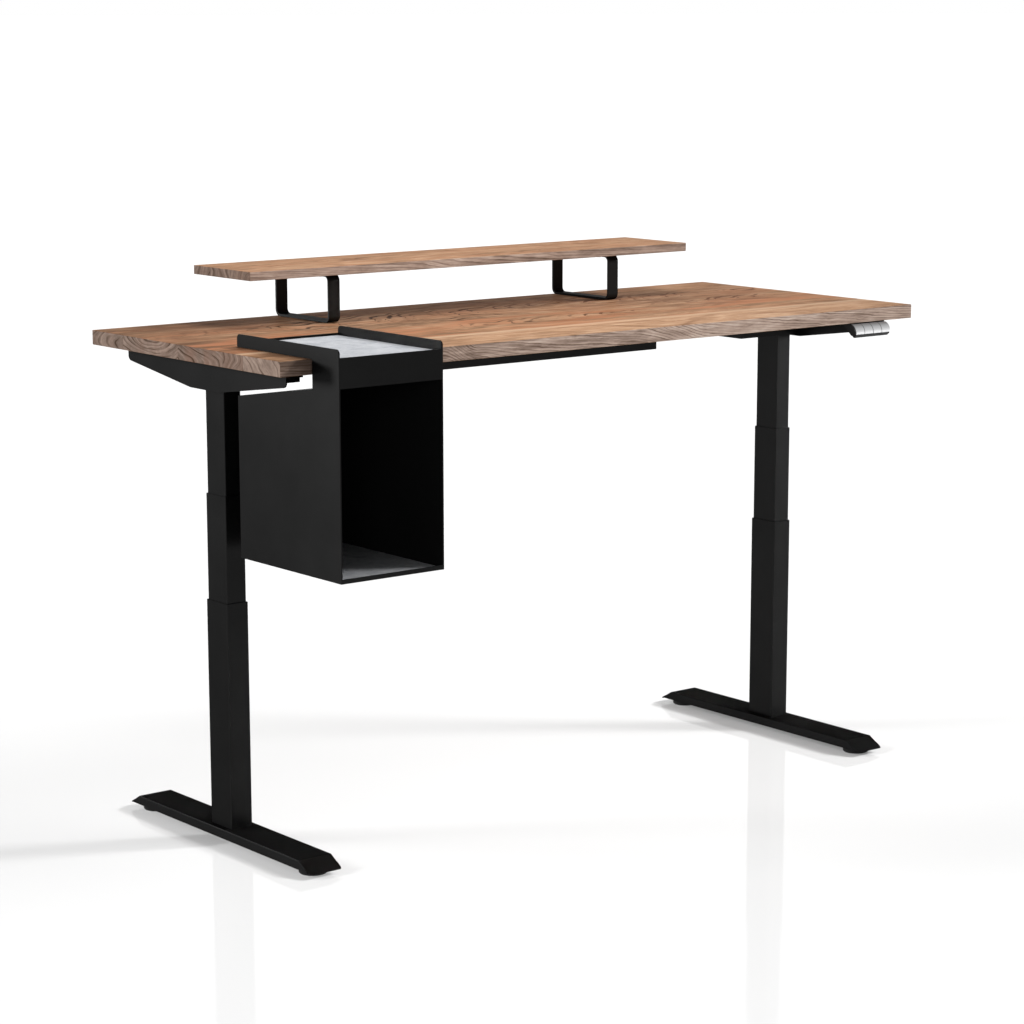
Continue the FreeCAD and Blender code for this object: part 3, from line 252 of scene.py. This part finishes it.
    # edges and ends show greyer wood than the oiled face
    tone = t.math("ADD", tone, t.math("ADD", lift, t.math("MULTIPLY", on_end, ends)))
    grey = t.ramp(tone, [(0.05, (0.12, 0.084, 0.066)), (0.30, (0.235, 0.17, 0.136)), (0.52, (0.375, 0.28, 0.228)),
                         (0.74, (0.50, 0.39, 0.325)), (0.97, (0.60, 0.50, 0.435))])
    rust = t.math("MULTIPLY", t.math("MULTIPLY", redness, red_of), t.math("ADD", 0.5, t.math("MULTIPLY", on_end, 0.15)))
    grey = t.mix(rust, grey, (0.255, 0.15, 0.11, 1.0))
    base = t.mix(on_edge, base, grey)
    dark = t.math("MULTIPLY", line, t.math("MAXIMUM", t.math("MULTIPLY", on_long, 0.4), t.span(broken, t.math("ADD", 0.36, t.math("MULTIPLY", on_end, 0.05)), 0.6, 0.0, 1.0)))
    weight = t.math("ADD", t.math("MULTIPLY", on_face, bold), t.math("MULTIPLY", on_edge, edge))
    dark = t.math("MAXIMUM", t.math("MULTIPLY", dark, weight), t.math("MULTIPLY", on_face, t.math("MINIMUM", t.math("MULTIPLY", strong, 1.8), 0.95)))
    ink = t.mix(t.span(x, -0.1, 0.3, 0.0, 1.0, True), (0.045, 0.022, 0.012, 1.0), (0.13, 0.055, 0.03, 1.0))
    base = t.mix(dark, base, t.mix(on_edge, ink, (0.045, 0.022, 0.012, 1.0)))
    base = t.mix(t.math("MULTIPLY", t.span(fibre, 0.35, 0.75, 0.0, 0.2), calm), base, (0.09, 0.052, 0.034, 1.0))
    # a pale strip of sapwood
    for at, wide in pale:
        near = t.span(t.math("ABSOLUTE", t.math("SUBTRACT", y, at)), wide * 0.65, wide, 0.65, 0.0)
        base = t.mix(t.math("MULTIPLY", near, on_face), base, (0.47, 0.32, 0.21, 1.0))
    # glue lines
    for at in seams:
        near = t.span(t.math("ABSOLUTE", t.math("SUBTRACT", y, at)), 0.0003, 0.0009, 0.3, 0.0)
        base = t.mix(near, base, (0.05, 0.03, 0.022, 1.0))
    t.set(color=base, rough=t.span(fibre, 0.3, 0.7, 0.5, 0.62), spec=0.008)
    t.bump(t.math("ADD", t.math("MULTIPLY", fibre, 0.6), t.math("MULTIPLY", line, 0.4)), 0.25, 0.0004)
    return t.mat


def powder(name, color, rough, metal=0.35, tint=0.2, grain=900.0):
    # fine matt powder coat on steel
    t = Tree(name)
    c = t.node("ShaderNodeTexCoord")
    g = t.noise(c.outputs["Object"], grain, 2.0, 0.6)
    big = t.noise(c.outputs["Object"], 9.0, 3.0, 0.5)
    lo = tuple(v * 0.94 for v in color)
    hi = tuple(v * 1.06 for v in color)
    t.set(color=t.ramp(big, [(0.3, lo), (0.7, hi)]), metal=metal, tint=(tint, tint, tint),
          rough=t.span(g, 0.3, 0.7, rough - 0.05, rough + 0.05), spec=0.0)
    t.bump(g, 0.12, 0.00025)
    return t.mat


def plain(name, color, rough, metal=0.0, spec=0.3, grain=600.0, depth=0.1):
    t = Tree(name)
    c = t.node("ShaderNodeTexCoord")
    g = t.noise(c.outputs["Object"], grain, 2.0, 0.6)
    t.set(color=t.ramp(g, [(0.3, tuple(v * 0.9 for v in color)), (0.7, tuple(v * 1.1 for v in color))]), metal=metal,
          rough=t.span(g, 0.3, 0.7, max(rough - 0.05, 0.05), rough + 0.05), spec=spec)
    t.bump(g, depth, 0.0002)
    return t.mat


def brushed(name, color, rough, axis):
    # machined or satin metal with fine lines along one axis
    t = Tree(name)
    x, y, z = t.xyz()
    s = [700.0, 700.0, 700.0]
    s[axis] = 12.0
    g = t.noise(t.join(t.math("MULTIPLY", x, s[0]), t.math("MULTIPLY", y, s[1]), t.math("MULTIPLY", z, s[2])), 1.0, 2.0)
    t.set(color=t.ramp(g, [(0.3, tuple(v * 0.93 for v in color)), (0.7, tuple(min(v * 1.07, 1) for v in color))]),
          metal=1.0, rough=t.span(g, 0.3, 0.7, rough - 0.06, rough + 0.06))
    t.bump(g, 0.08, 0.0001)
    return t.mat


def satin(name, color, z_low, z_high, shade, ends):
    # painted silver with painted shade: darker towards the upper side, where the desktop's front edge shades the keys,
    # and darker in the joints between the keys
    t = Tree(name)
    x, y, z = t.xyz()
    g = t.noise(t.join(t.math("MULTIPLY", x, 900.0), t.math("MULTIPLY", y, 900.0), t.math("MULTIPLY", z, 900.0)), 1.0, 2.0)
    base = t.ramp(g, [(0.3, tuple(v * 0.96 for v in color)), (0.7, tuple(v * 1.04 for v in color))])
    # painted shade: the colour darkens towards the top of the keys in place of the desktop edge's shadow on them
    base = t.mix(t.span(z, z_low, z_high, 0.0, shade, True), base, (0.03, 0.03, 0.032, 1.0))
    for at in ends:
        near = t.span(t.math("ABSOLUTE", t.math("SUBTRACT", x, at)), 0.0005, 0.0012, 0.55, 0.0)
        base = t.mix(near, base, (0.04, 0.04, 0.042, 1.0))
    t.set(color=base, metal=0.3, rough=t.span(g, 0.3, 0.7, 0.4, 0.48), spec=0.2)
    t.bump(g, 0.08, 0.0001)
    return t.mat


def felt(name, level):
    t = Tree(name)
    c = t.node("ShaderNodeTexCoord")
    v = c.outputs["Object"]
    cloud = t.noise(v, 26.0, 5.0, 0.65, 1.2)
    vein = t.noise(v, 60.0, 4.0, 0.7, 2.0)
    fuzz = t.noise(v, 1500.0, 2.0, 0.7)
    mottle = t.math("ADD", t.math("MULTIPLY", cloud, 0.7), t.math("MULTIPLY", vein, 0.3))
    tones = [(0.32, (0.22, 0.232, 0.26)), (0.46, (0.35, 0.362, 0.385)), (0.60, (0.45, 0.458, 0.475)),
             (0.72, (0.55, 0.555, 0.57))]
    base = t.ramp(mottle, [(at, tuple(v * level for v in c)) for at, c in tones])
    base = t.mix(t.span(fuzz, 0.35, 0.7, 0.0, 0.35), base, (0.25 * level, 0.26 * level, 0.28 * level, 1.0))
    t.set(color=base, rough=0.95, spec=0.08, sheen=0.15)
    t.bump(t.math("ADD", fuzz, t.math("MULTIPLY", vein, 0.8)), 0.5, 0.0006)
    return t.mat


desk_wood = wood(
    "oiled_wood_top", 1.0, 1.091, seams=[-0.1845, -0.1075, 0.0655, 0.2895],
    piths=[-0.30, -0.12, 0.02, 0.17, 0.36], depths=[0.16, 0.12, 0.12, 0.09, 0.12],
    hearts=[-0.08, 0.10, 0.13, 0.165, 0.14], cores=[0.022, 0.005, 0.034, -0.003, 0.026],
    tones=[0.64, 0.47, 0.47, 0.52, 0.46], reds=[0.05, 0.55, 0.85, 0.45, 0.3], scale=0.039,
    figure=[(-0.24, 0.185, 0.28, 0.085, 1.5), (0.42, 0.20, 0.20, 0.06, 1.5), (0.83, 0.205, 0.05, 0.04, 1.5),
            (0.60, 0.06, 0.15, 0.05, 1.7), (0.10, -0.03, 0.30, 0.05, 0.6), (-0.60, 0.20, 0.25, 0.06, 0.3),
            (0.02, 0.24, 0.20, 0.05, 0.9)],
    bold=0.24, drift=0.09, shade=-0.3, lift=-0.1, ends=0.21, edge=0.75, pale=[(-0.168, 0.016)], bends=[(-0.49, -0.40, 0.03), (0.04, 0.24, 0.04)])
shelf_wood = wood(
    "oiled_wood_shelf", 5.0, 1.2195, seams=[0.262, 0.342], piths=[0.20, 0.30, 0.39], depths=[0.16, 0.14, 0.15],
    hearts=[0.06, 0.10, 0.22], cores=[0.016, 0.004, 0.016],
    tones=[0.50, 0.49, 0.47], reds=[0.35, 0.25, 0.3], scale=0.03,
    figure=[(-0.24, 0.31, 0.1, 0.03, 0.4), (0.2, 0.24, 0.15, 0.03, 0.35)], bold=0.1, drift=0.07, shade=0.0, lift=0.0, ends=-0.12, edge=0.5)
key_ends = [c[0] for k in ("key_up", "key_down", "key_memory_one", "key_memory_two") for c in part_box(k)]
key_ends = [v for v in key_ends if min(key_ends) + 0.002 < v < max(key_ends) - 0.002]
steel = powder("black_powder_coat", (0.0168, 0.0168, 0.0168), 0.34, 0.85, 0.28)
# painted light: the feet and the shelf loops wear the frame's black powder coat, but get their own lighter copies of it
# to match how brightly they are lit; the feet's copy is also more matt
matt_feet_steel_painted_light = powder("black_powder_coat_matt_painted_light", (0.0178, 0.0178, 0.0178), 0.37, 0.68, 0.3)
loop_steel_painted_light = powder("black_powder_coat_loops_painted_light", (0.0235, 0.0235, 0.0235), 0.38, 0.6, 0.28)
materials = {
    "black_steel": steel,
    "top_wood": desk_wood,
    "pad_rubber": plain("black_rubber", (0.012, 0.012, 0.012), 0.6, spec=0.2),
    "screw_steel": brushed("machined_steel", (0.55, 0.55, 0.56), 0.3, 2),
    "nut_plastic": plain("pale_plastic", (0.72, 0.72, 0.69), 0.5),
    "gear_alloy": plain("cast_alloy", (0.5, 0.5, 0.51), 0.5, metal=1.0, grain=350.0, depth=0.3),
    "motor_metal": powder("motor_paint", (0.06, 0.06, 0.065), 0.35),
    "zinc_fasteners": brushed("zinc_plate", (0.6, 0.6, 0.61), 0.35, 2),
    "black_plastic": plain("black_plastic", (0.008, 0.008, 0.0085), 0.5, spec=0.12, grain=1200.0),
    "board_green": plain("circuit_board", (0.02, 0.12, 0.05), 0.45),
    "silver_keys": satin("satin_silver", (0.36, 0.36, 0.363), 1.0465, 1.0565, 0.45, key_ends),
    "grey_felt": felt("grey_felt", 0.93),
}
for part in frame["record"]["subparts"]:
    o = nodes[part["node"]]
    mat = shelf_wood if part["node"] == "shelf_board" else materials[part["material_slot"]]
    # the feet and the loops take the lighter, painted-light copies of the coat
    if mat is steel and "foot" in part["node"]:
        mat = matt_feet_steel_painted_light
    if mat is steel and "loop" in part["node"]:
        mat = loop_steel_painted_light
    o.data.materials.clear()
    o.data.materials.append(mat)


# ---------------------------------------------------------------- felt mats
def mat_piece(name, node, body, seed):
    """A cut felt mat: rounded edges, a slightly uneven top, in the place of its plain CAD solid."""
    lo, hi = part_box(node)
    lo, hi = Vector(lo), Vector(hi)
    nx, ny = 50, 72
    edge = 0.0012
    verts, faces = [], []
    cols, rows = nx + 1, ny + 1
    for layer in (0, 1):
        for j in range(rows):
            for i in range(cols):
                u, v = i / nx, j / ny
                x = lo.x + (hi.x - lo.x) * u
                y = lo.y + (hi.y - lo.y) * v
                side = min(x - lo.x, hi.x - x, y - lo.y, hi.y - y)
                z = lo.z
                if layer:
                    lump = noise.noise(Vector((x * 60 + seed, y * 60, 0.0))) * 0.00022
                    z = hi.z - 0.0003 + lump
                    if side < 0.0005:
                        z -= edge
                verts.append((x, y, z))
    base = cols * rows
    for j in range(ny):
        for i in range(nx):
            a = j * cols + i
            faces.append((a, a + cols, a + cols + 1, a + 1))
            faces.append((base + a, base + a + 1, base + a + cols + 1, base + a + cols))
    ring = [i for i in range(cols)] + [j * cols + nx for j in range(1, rows)] + \
           [ny * cols + i for i in range(nx - 1, -1, -1)] + [j * cols for j in range(ny - 1, 0, -1)]
    for k, a in enumerate(ring):
        b = ring[(k + 1) % len(ring)]
        faces.append((a, b, base + b, base + a))
    me = bpy.data.meshes.new(name)
    me.from_pydata(verts, [], faces)
    me.update()
    o = bpy.data.objects.new(name, me)
    bpy.context.scene.collection.objects.link(o)
    me.materials.append(materials["grey_felt"])
    for p in me.polygons:
        p.use_smooth = True
    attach(o, body)
    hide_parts(node)
    return o


mat_piece("tray_felt", "caddy_tray_mat", "caddy", 3.0)
box_felt = mat_piece("box_felt", "caddy_floor_mat", "caddy", 8.0)

# ---------------------------------------------------------------- floor, light and camera
me = bpy.data.meshes.new("floor")
S = 900.0
me.from_pydata([(-S, -S, 0), (S, -S, 0), (S, S, 0), (-S, S, 0)], [], [(0, 1, 2, 3)])
floor = bpy.data.objects.new("floor", me)
bpy.context.scene.collection.objects.link(floor)
t = Tree("pale_floor")
c = t.node("ShaderNodeTexCoord")
t.set(color=(0.5, 0.5, 0.5), rough=t.span(t.noise(c.outputs["Object"], 3.0, 2.0), 0.3, 0.7, 0.04, 0.06), spec=0.11)
# the white sweep glows a little, so that shadows on it stay faint
t.bsdf.inputs["Emission Color"].default_value = (1.0, 1.0, 1.0, 1.0)
t.bsdf.inputs["Emission Strength"].default_value = 0.21
me.materials.append(t.mat)

world = bpy.data.worlds.new("studio")
bpy.context.scene.world = world
world.use_nodes = True
wt = world.node_tree
bg = next(n for n in wt.nodes if n.type == "BACKGROUND")
tc = wt.nodes.new("ShaderNodeTexCoord")
sp = wt.nodes.new("ShaderNodeSeparateXYZ")
wt.links.new(tc.outputs["Generated"], sp.inputs[0])


def world_span(value, a, b, c, d):
    n = wt.nodes.new("ShaderNodeMapRange")
    n.interpolation_type = "SMOOTHSTEP"
    wt.links.new(value, n.inputs["Value"])
    for k, v in (("From Min", a), ("From Max", b), ("To Min", c), ("To Max", d)):
        n.inputs[k].default_value = v
    return n.outputs[0]


def world_max(a, b):
    n = wt.nodes.new("ShaderNodeMath")
    n.operation = "MAXIMUM"
    wt.links.new(a, n.inputs[0])
    wt.links.new(b, n.inputs[1])
    return n.outputs[0]


# dim in front and overhead, bright near the horizon behind and on the left
behind = world_span(sp.outputs[1], -0.5, 0.4, 0.15, 1.0)
beside = world_span(sp.outputs[0], -0.35, -0.85, 0.0, 0.95)
low = world_span(sp.outputs[2], 0.2, 0.55, 1.0, 0.25)
dome = wt.nodes.new("ShaderNodeMath")
dome.operation = "MULTIPLY"
wt.links.new(world_max(behind, beside), dome.inputs[0])
wt.links.new(low, dome.inputs[1])
above = world_span(sp.outputs[2], 0.35, 0.8, 0.0, 0.22)
bg.inputs["Color"].default_value = (1.0, 1.0, 1.0, 1.0)
wt.links.new(world_max(dome.outputs[0], above), bg.inputs["Strength"])


def sun(name, direction, strength, angle):
    data = bpy.data.lights.new(name, "SUN")
    data.energy = strength
    data.angle = math.radians(angle)
    o = bpy.data.objects.new(name, data)
    bpy.context.scene.collection.objects.link(o)
    o.rotation_mode = "QUATERNION"
    o.rotation_quaternion = Vector(direction).normalized().to_track_quat("-Z", "Y")
    return o


def only(light, state, *objects):
    # light these objects only, or all but these
    group = bpy.data.collections.new(light.name + "_" + state.lower())
    for o in objects:
        group.objects.link(o)
    light.light_linking.receiver_collection = group
    for item in group.collection_objects:
        item.light_linking.link_state = state


def shade(light, state, *objects):
    # these objects only, or all but these, cast shadows in this light
    group = bpy.data.collections.new(light.name + "_shade")
    for o in objects:
        group.objects.link(o)
    light.light_linking.blocker_collection = group
    for item in group.collection_objects:
        item.light_linking.link_state = state


data = bpy.data.lights.new("overhead", "AREA")
data.shape = "RECTANGLE"
data.size, data.size_y = 0.85, 0.7
data.energy = 23.0
box = bpy.data.objects.new("overhead", data)
box.location = (-0.17, -0.22, 2.73)
bpy.context.scene.collection.objects.link(box)
only(box, "EXCLUDE", floor)
coated = [nodes[q["node"]] for q in frame["record"]["subparts"] if q["material_slot"] == "black_steel"]
caddy = [o for o in coated if o.name.startswith("caddy")]
keys = [nodes[q["node"]] for q in frame["record"]["subparts"] if q["material_slot"] == "silver_keys"]
only(sun("key", (-0.66, 0.58, -0.52), 3.3, 12), "EXCLUDE", floor, box_felt, *keys, *caddy)
front = sun("keys", (-0.35, 0.92, 0.06), 4.7, 20)
only(front, "INCLUDE", *keys)
shade(front, "EXCLUDE", floor)
only(sun("left", (0.638, -0.753, -0.16), 3.4, 12), "INCLUDE", *[o for o in coated if not o.name.startswith("right")])
only(sun("felt_key", (-0.86, 0.40, -0.52), 2.6, 20), "INCLUDE", box_felt)
only(sun("rim", (0.84, -0.54, -0.5), 1.3, 12), "EXCLUDE", nodes["handset_housing"], *coated)
right_tubes = [nodes["right_" + k] for k in ("outer_tube", "middle_tube", "inner_tube")]
left_tubes = [nodes["left_" + k] for k in ("outer_tube", "middle_tube", "inner_tube")]
feet = [o for o in nodes.values() if o.name.endswith("_foot") or o.name.endswith("leveller")]
base = [nodes["left_foot"], nodes["right_foot"]]
only(sun("right_front", (-0.62, 0.78, -0.15), 1.6, 14), "INCLUDE", *right_tubes, *base)
# a little light from the front reaches the inside of the box
only(sun("box_fill", (0.6, 0.78, -0.18), 2.0, 25), "INCLUDE", nodes["caddy_shell"], nodes["caddy_right_panel"])
# the floor: each column throws its own streak away from the lamp on the right, the top a faint one
for name, way, strength, angle, cast in (("floor_left", (-0.75, 0.36, -0.55), 1.9, 9, left_tubes + [o for o in feet if "left" not in o.name]),
                                         ("floor_right", (-0.65, 0.515, -0.56), 2.5, 11, right_tubes + feet),
                                         ("floor_back", (0.6, -0.6, -0.53), 0.5, 9, left_tubes + right_tubes + feet),
                                         ("floor_wide", (-0.62, 0.46, -0.66), 1.5, 36, None)):
    lamp = sun(name, way, strength, angle)
    only(lamp, "INCLUDE", floor)
    if cast:
        shade(lamp, "INCLUDE", *cast)

cam_data = bpy.data.cameras.new("camera")
cam = bpy.data.objects.new("camera", cam_data)
bpy.context.scene.collection.objects.link(cam)
yaw, pitch, roll = math.radians(38.281), math.radians(-11.155), math.radians(-0.063)
fwd = Vector((math.sin(yaw) * math.cos(pitch), math.cos(yaw) * math.cos(pitch), math.sin(pitch)))
right = Vector((math.cos(yaw), -math.sin(yaw), 0.0))
up = right.cross(fwd)
rr = right * math.cos(roll) + up * math.sin(roll)
uu = up * math.cos(roll) - right * math.sin(roll)
back = -fwd
at = Vector((-4.03241, -5.0345, 1.77695))
cam.matrix_world = Matrix(((rr.x, uu.x, back.x, at.x), (rr.y, uu.y, back.y, at.y), (rr.z, uu.z, back.z, at.z),
                           (0, 0, 0, 1)))
cam_data.sensor_width = 36.0
cam_data.lens = 2843.299 * 36.0 / 1024.0
cam_data.shift_x = 0.0
cam_data.shift_y = (571.449 - 512.0) / 1024.0
cam_data.clip_start = 0.1
cam_data.clip_end = 3000.0
bpy.context.scene.camera = cam
bpy.context.scene.view_settings.view_transform = "Standard"
bpy.context.scene.view_settings.look = "None"

bpy.context.view_layer.update()
